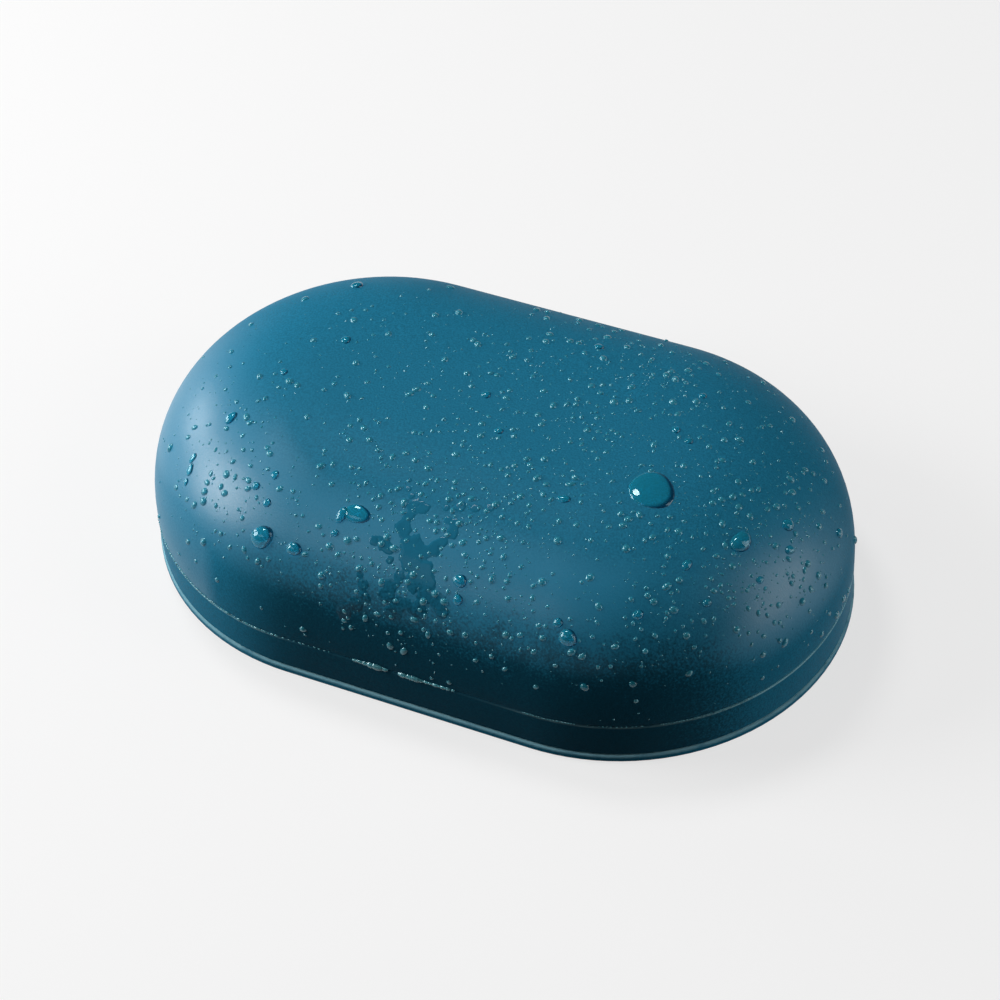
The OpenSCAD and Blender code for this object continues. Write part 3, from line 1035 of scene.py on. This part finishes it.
# Drops that are large enough to be told apart in the picture: the pixel of the middle in a
# 1000 x 1000 frame, width and length in millimetres, turn in degrees, and height as a share of the width
Drop = namedtuple("Drop", "across down wide long turn rise")
LARGE_DROPS = (
    Drop(262, 537, 4.2, 3.9, 20, 0.34),
    Drop(294, 549, 2.7, 2.4, 0, 0.34),
    Drop(652, 490, 7.1, 8.4, -10, 0.11),
    Drop(741, 542, 4.2, 3.2, 15, 0.26),
    Drop(568, 638, 3.2, 2.8, 0, 0.36),
    Drop(231, 418, 2.0, 2.6, 30, 0.32),
    Drop(357, 286, 2.4, 2.2, 0, 0.3),
    Drop(346, 340, 1.8, 1.8, 0, 0.3),
    Drop(193, 458, 1.2, 2.2, 10, 0.3),
    Drop(190, 470, 1.4, 2.4, 15, 0.3),
    Drop(186, 482, 1.2, 1.4, 0, 0.3),
    Drop(788, 525, 2.6, 2.0, -20, 0.28),
    Drop(558, 623, 1.7, 1.6, 0, 0.36),
    Drop(638, 615, 1.9, 1.7, 0, 0.36),
    Drop(707, 603, 1.6, 1.4, 0, 0.36),
    Drop(687, 565, 2.0, 1.6, 40, 0.28),
    Drop(460, 581, 2.5, 2.2, 20, 0.34),
    Drop(458, 600, 1.8, 1.8, 0, 0.34),
    Drop(486, 395, 1.8, 1.6, 0, 0.3),
    Drop(499, 431, 1.6, 1.5, 0, 0.3),
    Drop(284, 372, 1.5, 1.4, 0, 0.3),
    Drop(599, 347, 1.7, 1.6, 0, 0.3),
    Drop(676, 430, 1.6, 1.5, 0, 0.3),
    Drop(689, 441, 1.5, 1.5, 0, 0.3),
    Drop(703, 396, 1.4, 1.4, 0, 0.3),
    Drop(839, 533, 1.8, 1.5, 0, 0.3),
    Drop(790, 550, 2.0, 1.6, -30, 0.28),
    Drop(564, 499, 2.2, 1.6, 10, 0.2),
    Drop(760, 580, 1.5, 1.3, 0, 0.3),
    Drop(275, 475, 1.5, 1.6, 0, 0.32),
    Drop(256, 486, 1.6, 1.4, 0, 0.32),
    Drop(267, 503, 1.5, 1.5, 0, 0.32),
    Drop(335, 533, 1.4, 1.2, 0, 0.34),
    Drop(342, 515, 1.6, 3.2, -12, 0.42),
    Drop(357, 514, 4.6, 3.3, 10, 0.13),
    Drop(585, 687, 1.6, 1.4, 0, 0.34),
    Drop(633, 684, 1.4, 1.2, 0, 0.34),
)

# Under 1, this power makes a large drop fuller near its rim
DROP_ROUND = 0.9

# Wet patches, each a run of overlapping blobs: the pixel of a blob's middle and its radius in millimetres
Blob = namedtuple("Blob", "across down radius")
WET_PATCHES = (
    (
        Blob(413, 505, 1.2), Blob(424, 508, 1.1), Blob(408, 517, 1.1), Blob(404, 529, 1.5),
        Blob(410, 544, 1.7), Blob(421, 552, 1.8), Blob(433, 550, 1.4), Blob(443, 542, 1.0),
        Blob(452, 533, 1.1), Blob(456, 524, 1.0), Blob(448, 520, 0.7), Blob(412, 562, 2.0),
        Blob(424, 570, 1.9), Blob(414, 580, 2.0), Blob(429, 584, 1.4), Blob(399, 577, 1.0),
        Blob(391, 585, 1.2), Blob(386, 595, 1.3), Blob(425, 597, 1.5), Blob(437, 604, 1.5),
        Blob(419, 609, 1.7), Blob(444, 612, 1.1), Blob(403, 604, 1.4), Blob(393, 611, 1.6),
    ),
    (Blob(374, 541, 0.9), Blob(382, 543, 1.1), Blob(389, 550, 1.0), Blob(390, 560, 0.8)),
    (Blob(360, 574, 0.8), Blob(363, 584, 1.1), Blob(364, 596, 1.2), Blob(354, 604, 1.4), Blob(344, 610, 1.6)),
    (Blob(409, 480, 0.5), Blob(408, 489, 0.6), Blob(411, 496, 0.7)),
    (Blob(446, 508, 0.6), Blob(460, 507, 0.9), Blob(475, 508, 0.9), Blob(490, 507, 0.8)),
)

# Room round a patch's blobs, the strength at its edge, how steeply it rises from there, and its depth;
# how sharply blobs flow together, and the scale and size of each noise that roughens the edge
PATCH_MARGIN = 3 * MM
PATCH_EDGE = -0.22
PATCH_SLOPE = 4
PATCH_DEPTH = 0.12 * MM
PATCH_FLOW = 7
PATCH_NOISES = ((620, 0.4), (1700, 0.22))

# Places where beads gather: a pixel of the picture, a spread in pixels and a share of the beads
Gathering = namedtuple("Gathering", "across down spread_x spread_y share")
GATHERINGS = (
    Gathering(415, 560, 62, 52, 0.20),
    Gathering(470, 470, 90, 45, 0.11),
    Gathering(640, 430, 90, 80, 0.24),
    Gathering(690, 350, 70, 40, 0.06),
    Gathering(765, 550, 50, 50, 0.16),
    Gathering(600, 620, 90, 40, 0.06),
    Gathering(225, 475, 40, 60, 0.08),
    Gathering(430, 350, 120, 50, 0.09),
)

# The higher this power, the more of the beads are small; the ranges of a bead's stretch and height; the
# lid's tightest curve under a bead, and how deep the bead is let into it, as a share of its radius
SMALL_BEADS = 2.8
BEAD_LONGER = (0.85, 1.25)
BEAD_RISE = (0.5, 0.8)
BEAD_CURVE_R = 20 * MM
BEAD_SUNK = 0.12

# The ranges of a seam bead's size, stretch and distance, and how deep it is let into the seam
SEAM_BEAD_SIZE = (0.7, 1.2)
SEAM_BEAD_LONGER = (1.1, 2.0)
SEAM_BEAD_APART = (0.7, 1.3)
SEAM_BEAD_SUNK = 0.2

# Stretches of the seam that hold water: from and to, as distances along the outline from the left end
# by way of the front, with the radius of the beads and the distance between them, all in millimetres
Stretch = namedtuple("Stretch", "start stop radius pitch")
WET_SEAM = (
    Stretch(24, 62, 0.17, 0.62),
    Stretch(28, 58, 0.26, 3.1),
    Stretch(62, 72, 0.12, 0.9),
    Stretch(76.5, 79.5, 0.42, 0.55),
    Stretch(79.5, 83, 0.6, 1.1),
    Stretch(85, 88, 0.5, 0.6),
    Stretch(88, 95, 0.36, 0.8),
    Stretch(107, 116, 0.12, 0.5),
    Stretch(118, 127, 0.1, 0.8),
    Stretch(130, 176, 0.1, 0.45),
)


def along_seam(distance):
    """Point and outward direction on the outline at the seam, a distance along it from the left end."""
    quarter = math.pi / 2 * END_R
    if distance < quarter:
        turn, end = distance / END_R, -1
    elif distance < quarter + SIDE:
        return Vector((distance - quarter - SIDE / 2, -END_R, SEAM_Z)), Vector((0, -1, 0))
    else:
        turn, end = math.pi / 2 - (distance - quarter - SIDE) / END_R, 1
    outward = Vector((end * math.cos(turn), -math.sin(turn), 0))
    return Vector((end * SIDE / 2, 0, SEAM_Z)) + outward * END_R, outward


def dome(name, segments, rings):
    """Upper half of a ball of radius 1, closed underneath."""
    deselect()
    bpy.ops.mesh.primitive_uv_sphere_add(
        segments=segments, ring_count=2 * rings, radius=1, location=(0, 0, 0), enter_editmode=True
    )
    piece = bpy.context.object
    piece.name = name
    select_where(piece, "verts", lambda vertex: vertex.co.z < -0.001)
    bpy.ops.mesh.delete(type="VERT")
    select_where(piece, "edges", lambda edge: edge.is_boundary)
    bpy.ops.mesh.edge_face_add()
    leave_closed()
    smooth(piece, 70)
    return piece


def upright_on(normal, turn):
    """A turn that stands +Z on the normal, after a turn about +Z."""
    return normal.to_track_quat("Z", "Y").to_matrix().to_4x4() @ Matrix.Rotation(turn, 4, "Z")


def seen_on(piece, across, down):
    """Point and normal of the piece behind a pixel of the picture."""
    spot, way = sight_line(across, down)
    hit, point, normal, _ = piece.ray_cast(spot, way)
    if not hit:
        raise RuntimeError(f"nothing of {piece.name} is seen at {across}, {down}")
    return point, normal


class SOAPBOX_OT_drops(bpy.types.Operator):
    """Lays the larger drops on the lid, each fitted to the shoulder's curve"""

    bl_idname = "soapbox.drops"
    bl_label = "Large drops"

    def execute(self, context):
        water = settings().water
        lid = bpy.data.objects["lid"]
        template = dome("drop", segments=28, rings=8)
        drops = [self.fitted(template, lid, drop, index) for index, drop in enumerate(LARGE_DROPS)]
        bpy.data.objects.remove(template)
        piece = join(drops, "water_drops")
        material = water_finish(
            "Water", water.colour, water.clearness, CALM_WATER, water.shade_colour, water.painted_crescent_colour
        )
        place(piece, "lid", None, material)
        return {"FINISHED"}

    def fitted(self, template, lid, drop, index):
        """One drop whose rim follows the lid; its points keep how far they are turned from the window, for
        the painted shade of its crescent.
        """
        point, normal = seen_on(lid, drop.across, drop.down)
        piece = copy_piece(template, "drop")
        turn = upright_on(normal, math.radians(drop.turn)).to_3x3()
        sink = settings().water.sink
        turned = piece.data.attributes.new("turned_away", "FLOAT", "POINT")
        for vertex in piece.data.vertices:
            x, y, z = vertex.co
            turned.data[vertex.index].value = (turn @ Vector((x, y, 0)) + CRESCENT_SHIFT).length
            half = self.unevenness(math.atan2(y, x), index) * MM / 2
            foot = point + turn @ Vector((x * drop.wide * half, y * drop.long * half, 0))
            hit, ground, _, _ = lid.ray_cast(foot + normal * 3 * MM, -normal)
            ground = ground if hit else foot
            vertex.co = ground + normal * (max(z, 0) ** DROP_ROUND * drop.rise * drop.wide * MM - sink)
        return piece

    def unevenness(self, bearing, index):
        """Share by which a drop's rim swells or shrinks on a bearing, different for each drop."""
        return 1 + 0.06 * math.sin(2 * bearing + index) + 0.04 * math.sin(3 * bearing + 2.3 * index)


class SOAPBOX_OT_beads(bpy.types.Operator):
    """Scatters the small beads of water over the lid"""

    bl_idname = "soapbox.beads"
    bl_label = "Beads"

    def execute(self, context):
        water = settings().water
        lid = bpy.data.objects["lid"]
        draw = random.Random(water.seed)
        template = dome("bead", segments=10, rings=3)
        taken = [(seen_on(lid, drop.across, drop.down)[0], drop.wide * MM / 2) for drop in LARGE_DROPS]
        beads = []
        while len(beads) < water.beads:
            radius = water.bead_least + (water.bead_most - water.bead_least) * draw.random() ** SMALL_BEADS
            spread = draw.random()
            for gathering in GATHERINGS:
                spread -= gathering.share
                if spread <= 0:
                    break
            spot, way = sight_line(draw.gauss(gathering.across, gathering.spread_x),
                                   draw.gauss(gathering.down, gathering.spread_y))
            turn = draw.uniform(0, math.pi)
            longer = draw.uniform(*BEAD_LONGER)
            rise = draw.uniform(*BEAD_RISE)
            hit, point, normal, _ = lid.ray_cast(spot, way)
            if not hit or any((point - other).length < radius + size for other, size in taken):
                continue
            taken.append((point, radius))
            sink = radius ** 2 / (2 * BEAD_CURVE_R) + BEAD_SUNK * radius
            stand = Matrix.Translation(point - normal * sink) @ upright_on(normal, turn)
            beads.append(stand @ Matrix.Diagonal((radius * longer, radius / longer, radius * rise, 1)))
        piece = lay_copies(template, beads, "water_beads")
        material = water_finish(
            "Fine water", water.fine_colour, water.fine_clearness, FINE_WATER, water.fine_shade_colour
        )
        place(piece, "lid", None, material)
        return {"FINISHED"}


class SOAPBOX_OT_seam_water(bpy.types.Operator):
    """Lays fine beads of water in the seam"""

    bl_idname = "soapbox.seam_water"
    bl_label = "Water in the seam"

    def execute(self, context):
        water = settings().water
        draw = random.Random(water.seed + 1)
        template = dome("seam_bead", segments=10, rings=3)
        up = Vector((0, 0, 1))
        below_seam = up * settings().tray.seam_gap / 2
        beads = []
        for stretch in WET_SEAM:
            distance = stretch.start
            while distance < stretch.stop:
                point, outward = along_seam(distance * MM)
                radius = stretch.radius * MM * draw.uniform(*SEAM_BEAD_SIZE)
                longer = draw.uniform(*SEAM_BEAD_LONGER)
                stand = Matrix.Translation(point - outward * radius * SEAM_BEAD_SUNK - below_seam)
                turn = Matrix((up.cross(outward), up, outward)).transposed().to_4x4()
                beads.append(stand @ turn @ Matrix.Diagonal((radius * longer, radius, radius, 1)))
                distance += stretch.pitch * draw.uniform(*SEAM_BEAD_APART)
        piece = lay_copies(template, beads, "water_in_seam")
        material = water_finish(
            "Seam water", water.seam_colour, water.fine_clearness, CALM_WATER, water.fine_shade_colour
        )
        place(piece, "base", None, material)
        return {"FINISHED"}


class SOAPBOX_OT_film(bpy.types.Operator):
    """Lays the thin wet patches on the lid"""

    bl_idname = "soapbox.film"
    bl_label = "Wet patches"

    def execute(self, context):
        lid = bpy.data.objects["lid"]
        patches = [self.patch(lid, blobs) for blobs in WET_PATCHES]
        piece = join(patches, "water_film")
        smooth(piece, 60)
        place(piece, "lid", None, film_finish())
        return {"FINISHED"}

    def patch(self, lid, blobs):
        """One patch: a fine grid laid on the lid, kept where the blobs' field is strong enough."""
        water = settings().water
        middles = [(seen_on(lid, blob.across, blob.down)[0], blob.radius * MM) for blob in blobs]
        low = [min(point[axis] - radius for point, radius in middles) - PATCH_MARGIN for axis in (0, 1)]
        high = [max(point[axis] + radius for point, radius in middles) + PATCH_MARGIN for axis in (0, 1)]
        deselect()
        bpy.ops.mesh.primitive_grid_add(
            x_subdivisions=round((high[0] - low[0]) / water.film_grid),
            y_subdivisions=round((high[1] - low[1]) / water.film_grid),
            size=2, location=(0, 0, 0), enter_editmode=True
        )
        piece = bpy.context.object
        mesh = bmesh.from_edit_mesh(piece.data)
        for vertex in mesh.verts:
            x = low[0] + (high[0] - low[0]) * (vertex.co.x + 1) / 2
            y = low[1] + (high[1] - low[1]) * (vertex.co.y + 1) / 2
            hit, point, normal, _ = lid.ray_cast(Vector((x, y, 2 * TOP_Z)), Vector((0, 0, -1)))
            strength = self.strength(point, middles) if hit else -1
            vertex.select = strength < PATCH_EDGE
            level = max(min(strength * PATCH_SLOPE, 1), -1)
            vertex.co = point + normal * water.film * level if hit else Vector((x, y, 0))
        bmesh.update_edit_mesh(piece.data)
        bpy.ops.mesh.delete(type="VERT")
        while select_where(piece, "verts", self.pinched):
            bpy.ops.mesh.delete(type="VERT")
        leave_closed()
        apply_modifier(piece, "SOLIDIFY", thickness=PATCH_DEPTH, offset=-1)
        return piece

    def pinched(self, vertex):
        """True where a patch would touch itself at a corner only, or has no face left."""
        return sum(edge.is_boundary for edge in vertex.link_edges) > 2 or not vertex.link_faces

    def strength(self, point, middles):
        """Above 0 inside a patch, whose blobs flow together, with an uneven edge."""
        nearness = [1 - (point - middle).length / radius for middle, radius in middles]
        flow = sum(math.exp(PATCH_FLOW * near) for near in nearness)
        rough = sum(noise.noise(point * scale) * size for scale, size in PATCH_NOISES)
        return math.log(flow + 1e-9) / PATCH_FLOW + rough


# Soft windows of light: azimuth from the front and elevation in degrees, width and height in metres, and
# strength, where 1 lights white up to white
Window = namedtuple("Window", "name azimuth elevation width height strength")
WINDOWS = (
    Window("Key window", 288, 27, 0.32, 0.34, 0.90),
    Window("Left lamp", 258, 16, 0.18, 0.18, 0.24),
    Window("Back lamp", 236, 62, 0.16, 0.16, 0.40),
    Window("Low right window", 102, 12, 0.44, 0.38, 0.35),
    Window("High right window", 96, 40, 0.24, 0.24, 0.10),
    Window("Front window", 333, 43, 0.36, 0.15, 0.06),
)
WINDOW_DISTANCE = 0.6

# The backdrop's brightness from the horizon up, the share of it that lights the box, and the floor's end
BACKDROP = Change(0.0, 0.16, 0.91, 0.03)
BACKDROP_LIGHT = 0.1
FLOOR_R = 3
FLOOR_FADE = Change(0.16, 0.8, 0.0, 1.0)


class SOAPBOX_OT_studio(bpy.types.Operator):
    """Makes the floor, the backdrop, the lights and the camera"""

    bl_idname = "soapbox.studio"
    bl_label = "Studio"

    def execute(self, context):
        self.camera()
        self.floor()
        self.backdrop()
        for window in WINDOWS:
            self.light(window)
        context.scene.view_settings.view_transform = "Standard"
        return {"FINISHED"}

    def camera(self):
        """The camera at the picture's own place and turn."""
        right, up, back, spot = camera_axes()
        data = bpy.data.cameras.new("Camera")
        data.sensor_width = SENSOR
        data.lens = settings().studio.lens
        data.clip_start = 0.01
        camera = bpy.data.objects.new("Camera", data)
        turn = Matrix((right, up, back)).transposed()
        camera.matrix_world = Matrix.Translation(spot) @ turn.to_4x4()
        bpy.context.scene.collection.objects.link(camera)
        bpy.context.scene.camera = camera

    def floor(self):
        """A wide pale floor that keeps the shadow and throws little light back."""
        studio = settings().studio
        deselect()
        bpy.ops.mesh.primitive_circle_add(vertices=96, radius=FLOOR_R, fill_type="NGON", location=(0, 0, 0))
        floor = bpy.context.object
        floor.name = "floor"
        material, nodes, shader, here = new_material("Pale floor")
        path = nodes.add("ShaderNodeLightPath").outputs
        seen = nodes.math("ADD", path["Is Camera Ray"], path["Is Glossy Ray"], clamp=True)
        seen = nodes.math("ADD", seen, path["Is Transmission Ray"], clamp=True)
        thrown = toned(studio.floor_colour, studio.floor_bounce)
        lit = toned(studio.floor_colour, 1 - studio.floor_glow)
        glow = toned(studio.floor_colour, studio.floor_glow)
        reach = nodes.add("ShaderNodeVectorMath", operation="LENGTH", Vector=here).outputs["Value"]
        far = nodes.map(reach, *FLOOR_FADE, "SMOOTHSTEP")
        nodes.put(shader, "Base Color", nodes.mix(seen, thrown, nodes.mix(far, lit, (0, 0, 0))))
        far_glow = nodes.mix(far, glow, studio.floor_colour)
        nodes.put(shader, "Emission Color", nodes.mix(seen, (0, 0, 0), far_glow))
        nodes.put_all(shader, {"Emission Strength": 1.0, "Roughness": 0.9, "Specular IOR Level": 0.0})
        floor.data.materials.append(material)

    def backdrop(self):
        """A pale world towards the horizon for what is seen and mirrored, and a dim one for the light."""
        world = bpy.data.worlds.new("Backdrop")
        bpy.context.scene.world = world
        world.use_nodes = True
        world.node_tree.nodes.clear()
        nodes = Nodes(world.node_tree)
        output = nodes.add("ShaderNodeOutputWorld")
        path = nodes.add("ShaderNodeLightPath").outputs
        mirrored = nodes.math("ADD", path["Is Glossy Ray"], path["Is Transmission Ray"], clamp=True)
        way = nodes.add("ShaderNodeTexCoord").outputs["Generated"]
        height = nodes.add("ShaderNodeSeparateXYZ", Vector=way).outputs["Z"]
        pale = nodes.map(height, *BACKDROP)
        dim = nodes.math("MULTIPLY", pale, nodes.map(mirrored, 0.0, 1.0, BACKDROP_LIGHT, 1.0))
        background = nodes.add("ShaderNodeBackground", Color=(1, 1, 1))
        seen = nodes.math("MULTIPLY", path["Is Camera Ray"], BACKDROP.before)
        nodes.put(background, "Strength", nodes.math("MAXIMUM", dim, seen))
        nodes.put(output, "Surface", background.outputs[0])

    def light(self, window):
        """A soft window of light that faces the box and isn't seen itself."""
        away = outlook(math.radians(window.azimuth), math.radians(window.elevation))
        data = bpy.data.lights.new(window.name, "AREA")
        data.shape = "ELLIPSE"
        data.size = window.width
        data.size_y = window.height
        data.energy = window.strength * (math.pi * WINDOW_DISTANCE) ** 2
        lamp = bpy.data.objects.new(window.name, data)
        lamp.location = away * WINDOW_DISTANCE
        lamp.rotation_euler = away.to_track_quat("Z", "Y").to_euler()
        lamp.visible_camera = False
        bpy.context.scene.collection.objects.link(lamp)


class SOAPBOX_PT_panel(bpy.types.Panel):
    """Lists the steps that make the soap box"""

    bl_idname = "SOAPBOX_PT_panel"
    bl_label = "Travel Soap Box"
    bl_space_type = "VIEW_3D"
    bl_region_type = "UI"
    bl_category = "Soap Box"

    def draw(self, context):
        for step in STEPS:
            self.layout.operator(step.bl_idname)


GROUPS = (
    SoapBoxLid, SoapBoxTray, SoapBoxPlate, SoapBoxRack, SoapBoxFinish, SoapBoxWater, SoapBoxStudio,
    SoapBoxSettings,
)
STEPS = (
    SOAPBOX_OT_lid, SOAPBOX_OT_tray, SOAPBOX_OT_plate, SOAPBOX_OT_seal, SOAPBOX_OT_rack, SOAPBOX_OT_feet,
    SOAPBOX_OT_drops, SOAPBOX_OT_beads, SOAPBOX_OT_film, SOAPBOX_OT_seam_water,
    SOAPBOX_OT_studio,
)


def register():
    """Registers the settings, the steps and the panel."""
    for kind in GROUPS + STEPS + (SOAPBOX_PT_panel,):
        bpy.utils.register_class(kind)
    bpy.types.Scene.soap_box = PointerProperty(type=SoapBoxSettings)


def unregister():
    """Takes away what register added."""
    del bpy.types.Scene.soap_box
    for kind in (SOAPBOX_PT_panel,) + STEPS[::-1] + GROUPS[::-1]:
        bpy.utils.unregister_class(kind)


def main():
    """Makes every piece and the studio."""
    register()
    for step in STEPS:
        group, name = step.bl_idname.split(".")
        getattr(getattr(bpy.ops, group), name)()


if __name__ == "__main__":
    main()
